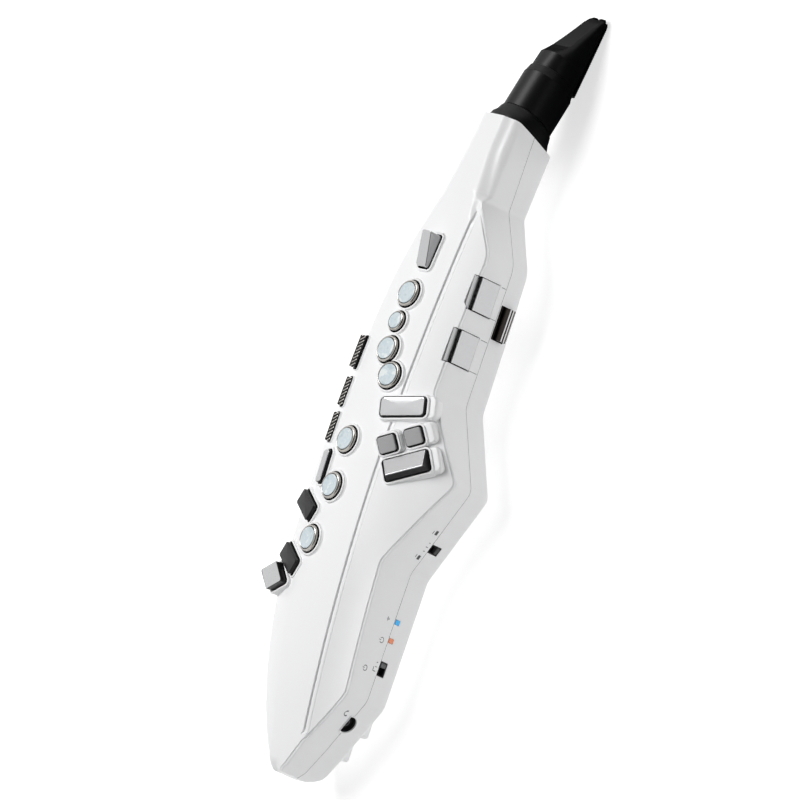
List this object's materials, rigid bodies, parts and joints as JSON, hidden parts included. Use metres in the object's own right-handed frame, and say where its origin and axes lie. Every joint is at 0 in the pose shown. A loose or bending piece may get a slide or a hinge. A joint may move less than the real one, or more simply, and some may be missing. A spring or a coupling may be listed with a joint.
{
  "type": "digital wind controller",
  "caption": "Electronic wind instrument with a saxophone style mouthpiece, sprung keys on an arched white body, thumb hook, strap ring and battery bay.",
  "frame": {"origin": "bottom centre of the whole object's box, lying on its back", "axes": "+Y towards the mouthpiece, +Z out of the key side, +X to the side of the palm keys"},
  "size_m": [0.1352, 0.574, 0.0982],
  "materials": {
    "white_body": "satin, faint pearl",
    "black_mouthpiece": "satin gloss",
    "reed_black": "fine matt",
    "bright_metal": "satin plated",
    "dark_metal": "dark satin plated",
    "pearl_inlay": "mottled pearl",
    "black_plastic": "satin",
    "grey_knob": "matt",
    "blue_lens": "clear tinted",
    "orange_lens": "clear tinted",
    "circuit_board": "solder mask",
    "display_glass": "polished",
    "plated_steel": "plated",
    "cell_sleeve": "sleeved metal can, as heavy as a filled cell",
    "soft_rubber": "matt"
  },
  "bodies": {
    "body": {"front_shell": "white_body", "rear_shell": "white_body", "neck_collar": "black_mouthpiece", "tone_switch_bed": "black_plastic", "power_switch_bed": "black_plastic", "blue_lamp": "blue_lens", "orange_lamp": "orange_lens", "phones_jack": "black_plastic", "display_window": "display_glass", "thumb_rest": "soft_rubber", "key_board": "circuit_board", "main_board": "circuit_board", "battery_pair_1": "cell_sleeve", "battery_pair_2": "cell_sleeve", "battery_pair_3": "cell_sleeve", "speaker": "soft_rubber", "breath_sensor": "black_plastic"},
    "key_b": {"pearl_key_b": "bright_metal", "pearl_b": "pearl_inlay"},
    "key_bis": {"pearl_key_bis": "bright_metal", "pearl_bis": "pearl_inlay"},
    "key_a": {"pearl_key_a": "bright_metal", "pearl_a": "pearl_inlay"},
    "key_g": {"pearl_key_g": "bright_metal", "pearl_g": "pearl_inlay"},
    "key_f": {"pearl_key_f": "bright_metal", "pearl_f": "pearl_inlay"},
    "key_e": {"pearl_key_e": "bright_metal", "pearl_e": "pearl_inlay"},
    "key_d": {"pearl_key_d": "bright_metal", "pearl_d": "pearl_inlay"},
    "x_key": {"x_key": "bright_metal"},
    "g_sharp_key": {"g_sharp_key": "bright_metal"},
    "low_c_sharp_key": {"low_c_sharp_key": "dark_metal"},
    "low_b_key": {"low_b_key": "dark_metal"},
    "low_b_flat_key": {"low_b_flat_key": "dark_metal"},
    "f_sharp_key": {"f_sharp_key": "bright_metal"},
    "e_flat_key": {"e_flat_key": "black_plastic"},
    "low_c_sharp_touch": {"low_c_sharp_touch": "black_plastic"},
    "low_c_key": {"low_c_key": "bright_metal"},
    "side_key_1": {"side_key_1": "black_plastic"},
    "side_key_2": {"side_key_2": "black_plastic"},
    "side_key_3": {"side_key_3": "black_plastic"},
    "palm_key_1": {"palm_key_1": "bright_metal"},
    "palm_key_2": {"palm_key_2": "bright_metal"},
    "palm_key_3": {"palm_key_3": "dark_metal"},
    "octave_key_up": {"octave_key_up": "bright_metal"},
    "octave_key_down": {"octave_key_down": "bright_metal"},
    "menu_button": {"menu_button": "black_plastic"},
    "thumb_pad": {"thumb_pad": "soft_rubber"},
    "volume_knob": {"volume_knob": "black_plastic"},
    "tone_switch": {"tone_switch": "grey_knob"},
    "power_switch": {"power_switch": "grey_knob"},
    "strap_ring": {"strap_ring": "plated_steel"},
    "thumb_hook": {"thumb_hook": "black_plastic"},
    "mouthpiece": {"mouthpiece": "black_mouthpiece", "reed": "reed_black"},
    "battery_cover": {"battery_cover": "white_body"}
  },
  "joints": [
    {"name": "key_b_press", "type": "slide", "parent": "body", "child": "key_b", "axis": [0.1337, -0.0775, -0.988], "range_m": [0, 0.002], "stiffness_N_per_m": 200},
    {"name": "key_bis_press", "type": "slide", "parent": "body", "child": "key_bis", "axis": [0.1396, -0.0633, -0.9882], "range_m": [0, 0.002], "stiffness_N_per_m": 200},
    {"name": "key_a_press", "type": "slide", "parent": "body", "child": "key_a", "axis": [0.1253, -0.0495, -0.9909], "range_m": [0, 0.002], "stiffness_N_per_m": 200},
    {"name": "key_g_press", "type": "slide", "parent": "body", "child": "key_g", "axis": [0.0317, -0.0377, -0.9988], "range_m": [0, 0.002], "stiffness_N_per_m": 200},
    {"name": "key_f_press", "type": "slide", "parent": "body", "child": "key_f", "axis": [0.1963, -0.0032, -0.9805], "range_m": [0, 0.002], "stiffness_N_per_m": 200},
    {"name": "key_e_press", "type": "slide", "parent": "body", "child": "key_e", "axis": [0.1944, 0.0267, -0.9806], "range_m": [0, 0.002], "stiffness_N_per_m": 200},
    {"name": "key_d_press", "type": "slide", "parent": "body", "child": "key_d", "axis": [0.2491, 0.0618, -0.9665], "range_m": [0, 0.002], "stiffness_N_per_m": 200},
    {"name": "x_key_press", "type": "slide", "parent": "body", "child": "x_key", "axis": [0.1069, -0.0996, -0.9893], "range_m": [0, 0.002], "stiffness_N_per_m": 200},
    {"name": "g_sharp_key_press", "type": "slide", "parent": "body", "child": "g_sharp_key", "axis": [-0.2419, -0.0237, -0.97], "range_m": [0, 0.002], "stiffness_N_per_m": 200},
    {"name": "low_c_sharp_key_press", "type": "slide", "parent": "body", "child": "low_c_sharp_key", "axis": [-0.2995, 0.2469, -0.9216], "range_m": [0, 0.002], "stiffness_N_per_m": 200},
    {"name": "low_b_key_press", "type": "slide", "parent": "body", "child": "low_b_key", "axis": [-0.2995, 0.2469, -0.9216], "range_m": [0, 0.002], "stiffness_N_per_m": 200},
    {"name": "low_b_flat_key_press", "type": "slide", "parent": "body", "child": "low_b_flat_key", "axis": [-0.309, 0, -0.9511], "range_m": [0, 0.002], "stiffness_N_per_m": 200},
    {"name": "f_sharp_key_press", "type": "slide", "parent": "body", "child": "f_sharp_key", "axis": [0.3696, 0.016, -0.9291], "range_m": [0, 0.002], "stiffness_N_per_m": 200},
    {"name": "e_flat_key_press", "type": "slide", "parent": "body", "child": "e_flat_key", "axis": [0.3742, 0.0485, -0.9261], "range_m": [0, 0.002], "stiffness_N_per_m": 200},
    {"name": "low_c_sharp_touch_press", "type": "slide", "parent": "body", "child": "low_c_sharp_touch", "axis": [0.3734, 0.0808, -0.9241], "range_m": [0, 0.002], "stiffness_N_per_m": 200},
    {"name": "low_c_key_press", "type": "slide", "parent": "body", "child": "low_c_key", "axis": [0.3404, 0.0983, -0.9351], "range_m": [0, 0.002], "stiffness_N_per_m": 200},
    {"name": "side_key_1_press", "type": "slide", "parent": "body", "child": "side_key_1", "axis": [0.438, -0.0435, -0.8979], "range_m": [0, 0.002], "stiffness_N_per_m": 200},
    {"name": "side_key_2_press", "type": "slide", "parent": "body", "child": "side_key_2", "axis": [0.4382, -0.0253, -0.8985], "range_m": [0, 0.002], "stiffness_N_per_m": 200},
    {"name": "side_key_3_press", "type": "slide", "parent": "body", "child": "side_key_3", "axis": [0.4384, -0.0081, -0.8988], "range_m": [0, 0.002], "stiffness_N_per_m": 200},
    {"name": "palm_key_1_rock", "type": "hinge", "parent": "body", "child": "palm_key_1", "pos_m": [0.0345, 0.06861, 0.07763], "axis": [0, 1, 0], "range_deg": [0, 3.4], "stiffness_Nm_per_rad": 0.08},
    {"name": "palm_key_2_rock", "type": "hinge", "parent": "body", "child": "palm_key_2", "pos_m": [0.0345, 0.02904, 0.08055], "axis": [0, 1, 0], "range_deg": [0, 3.4], "stiffness_Nm_per_rad": 0.08},
    {"name": "palm_key_3_press", "type": "slide", "parent": "body", "child": "palm_key_3", "axis": [-1, 0, 0], "range_m": [0, 0.0018], "stiffness_N_per_m": 200},
    {"name": "octave_key_up_press", "type": "slide", "parent": "body", "child": "octave_key_up", "axis": [0, 0, 1], "range_m": [0, 0.0015], "stiffness_N_per_m": 200},
    {"name": "octave_key_down_press", "type": "slide", "parent": "body", "child": "octave_key_down", "axis": [0, 0, 1], "range_m": [0, 0.0015], "stiffness_N_per_m": 200},
    {"name": "menu_button_press", "type": "slide", "parent": "body", "child": "menu_button", "axis": [0, 0, 1], "range_m": [0, 0.0008], "stiffness_N_per_m": 200},
    {"name": "thumb_pad_rock", "type": "hinge", "parent": "body", "child": "thumb_pad", "pos_m": [0.01887, 0.05304, 0.02576], "axis": [1, 0, 0], "range_deg": [-2.5, 2.5], "stiffness_Nm_per_rad": 0.1},
    {"name": "volume_turn", "type": "hinge", "parent": "body", "child": "volume_knob", "pos_m": [0.02388, -0.02099, 0.02478], "axis": [0, 0, 1], "range_deg": [-140, 140]},
    {"name": "tone_slide", "type": "slide", "parent": "body", "child": "tone_switch", "axis": [0, 0, 1], "range_m": [0, 0.005]},
    {"name": "power_slide", "type": "slide", "parent": "body", "child": "power_switch", "axis": [0, -1, 0], "range_m": [0, 0.005]},
    {"name": "ring_swing", "type": "hinge", "parent": "body", "child": "strap_ring", "pos_m": [-0.0001, 0.00706, 0.01878], "axis": [1, 0, 0], "range_deg": [-170, 0]},
    {"name": "hook_slide", "type": "slide", "parent": "body", "child": "thumb_hook", "axis": [0, 1, 0], "range_m": [0, 0.008]},
    {"name": "mouthpiece_pull", "type": "slide", "parent": "body", "child": "mouthpiece", "axis": [0, 0.95, -0.3123], "range_m": [0, 0.02]},
    {"name": "cover_lift", "type": "slide", "parent": "body", "child": "battery_cover", "axis": [0, 0, -1], "range_m": [0, 0.03]}
  ]
}
